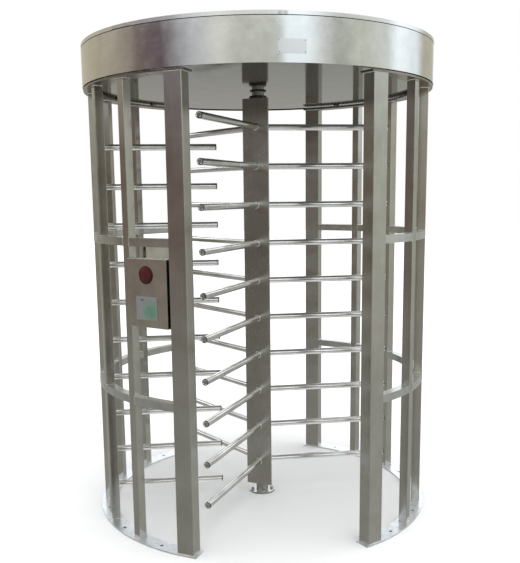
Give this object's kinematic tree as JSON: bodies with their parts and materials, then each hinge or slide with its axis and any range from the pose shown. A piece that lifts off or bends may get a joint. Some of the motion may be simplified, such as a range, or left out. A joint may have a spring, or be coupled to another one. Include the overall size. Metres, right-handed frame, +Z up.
{
  "type": "full-height turnstile",
  "caption": "Full-height rotor turnstile: a round canopy on a cage of posts, a turning column with wings of horizontal bars, and a fixed comb of bars on one side.",
  "frame": {"origin": "on the floor, on the rotor's axis, which is the middle of the base", "axes": "+Z up; -Y is the side that visitors enter from; the fixed comb of bars is on -X"},
  "size_m": [1.65, 1.654, 2.203],
  "materials": {
    "satin_steel": "vertical brushed stainless, slightly glossy",
    "floor_steel": "hot-rolled pickled stainless plate, mill finish",
    "box_steel": "brushed stainless sheet",
    "band_steel": "rolled stainless sheet, fine vertical brush",
    "ceiling_steel": "bright-annealed stainless sheet",
    "polished_steel": "drawn stainless tube, polished",
    "plug_steel": "turned steel plug, dark",
    "machined_steel": "turned steel",
    "bronze": "bearing bronze",
    "zinc_steel": "zinc-plated steel",
    "chassis_paint": "grey powder coat",
    "pawl_steel": "ground tool steel",
    "solenoid_black": "black enamel",
    "nameplate_metal": "anodised aluminium, satin",
    "red_lens": "deep red moulded polycarbonate",
    "reader_plastic": "pale grey-green acrylic",
    "circuit_board": "green solder resist"
  },
  "bodies": {
    "frame": {"base_strip_left": "floor_steel", "base_strip_right": "floor_steel", "box_screws": "zinc_steel", "canopy_band": "band_steel", "canopy_fixings": "zinc_steel", "ceiling_plate": "ceiling_steel", "comb_bars": "polished_steel", "comb_plugs": "plug_steel", "control_box": "chassis_paint", "encoder_body": "solenoid_black", "floor_flange": "machined_steel", "floor_screws": "zinc_steel", "front_box_cover": "box_steel", "front_box_housing": "box_steel", "front_reader_panel": "reader_plastic", "front_signal_lens": "red_lens", "head_beams": "zinc_steel", "head_strip_left": "satin_steel", "head_strip_right": "satin_steel", "lock_chassis": "chassis_paint", "lower_rails": "satin_steel", "nameplate": "nameplate_metal", "post_left_1": "satin_steel", "post_left_2": "satin_steel", "post_left_3": "satin_steel", "post_left_4": "satin_steel", "post_left_5": "satin_steel", "post_left_6": "satin_steel", "post_left_7": "satin_steel", "post_right_1": "satin_steel", "post_right_2": "satin_steel", "post_right_3": "satin_steel", "post_right_4": "satin_steel", "post_right_5": "satin_steel", "post_right_6": "satin_steel", "post_right_7": "satin_steel", "rear_box_cover": "box_steel", "rear_box_housing": "box_steel", "rear_reader_panel": "reader_plastic", "rear_signal_lens": "red_lens", "signal_boards": "circuit_board", "solenoids": "solenoid_black", "upper_bush": "bronze", "upper_rails": "satin_steel"},
    "rotor": {"rotor_column": "satin_steel", "column_end_plates": "satin_steel", "rotor_shaft": "machined_steel", "lower_bush": "bronze", "wing_bars_1": "polished_steel", "wing_bars_2": "polished_steel", "wing_bars_3": "polished_steel", "wing_plugs": "plug_steel", "index_disc": "machined_steel"},
    "lid": {"canopy_lid": "band_steel", "lid_clamps": "band_steel"},
    "pawl_entry": {"lock_pawl_entry": "pawl_steel"},
    "pawl_exit": {"lock_pawl_exit": "pawl_steel"},
    "plunger_entry": {"plunger_entry": "pawl_steel"},
    "plunger_exit": {"plunger_exit": "pawl_steel"},
    "counter_wheel": {"counter_wheel": "machined_steel"}
  },
  "joints": [
    {"name": "rotor_spin", "type": "hinge", "parent": "frame", "child": "rotor", "pos_m": [0, 0, 0], "axis": [0, 0, 1], "continuous": true},
    {"name": "counter_wheel_spin", "type": "hinge", "parent": "frame", "child": "counter_wheel", "pos_m": [0, -0.1253, 0], "axis": [0, 0, 1], "continuous": true},
    {"name": "lid_lift", "type": "slide", "parent": "frame", "child": "lid", "axis": [0, 0, 1], "range_m": [0, 0.25]},
    {"name": "pawl_entry_turn", "type": "hinge", "parent": "frame", "child": "pawl_entry", "pos_m": [-0.12398, 0.06288, 2.1258], "axis": [0, 0, -1], "range_deg": [0, 14], "stiffness_Nm_per_rad": 0.6, "springref_deg": -8.59},
    {"name": "plunger_entry_slide", "type": "slide", "parent": "frame", "child": "plunger_entry", "axis": [-0.3057, 0.9521, 0], "range_m": [0, 0.0092]},
    {"name": "pawl_exit_turn", "type": "hinge", "parent": "frame", "child": "pawl_exit", "pos_m": [0.12398, 0.06288, 2.1258], "axis": [0, 0, 1], "range_deg": [0, 14], "stiffness_Nm_per_rad": 0.6, "springref_deg": -8.59},
    {"name": "plunger_exit_slide", "type": "slide", "parent": "frame", "child": "plunger_exit", "axis": [0.3057, 0.9521, 0], "range_m": [0, 0.0092]}
  ],
  "couplings": [
    {"joint": "counter_wheel_spin", "follows": "rotor_spin", "ratio": -5.25},
    {"joint": "plunger_entry_slide", "follows": "pawl_entry_turn", "m_per_rad": 0.037185},
    {"joint": "plunger_exit_slide", "follows": "pawl_exit_turn", "m_per_rad": 0.037185}
  ]
}
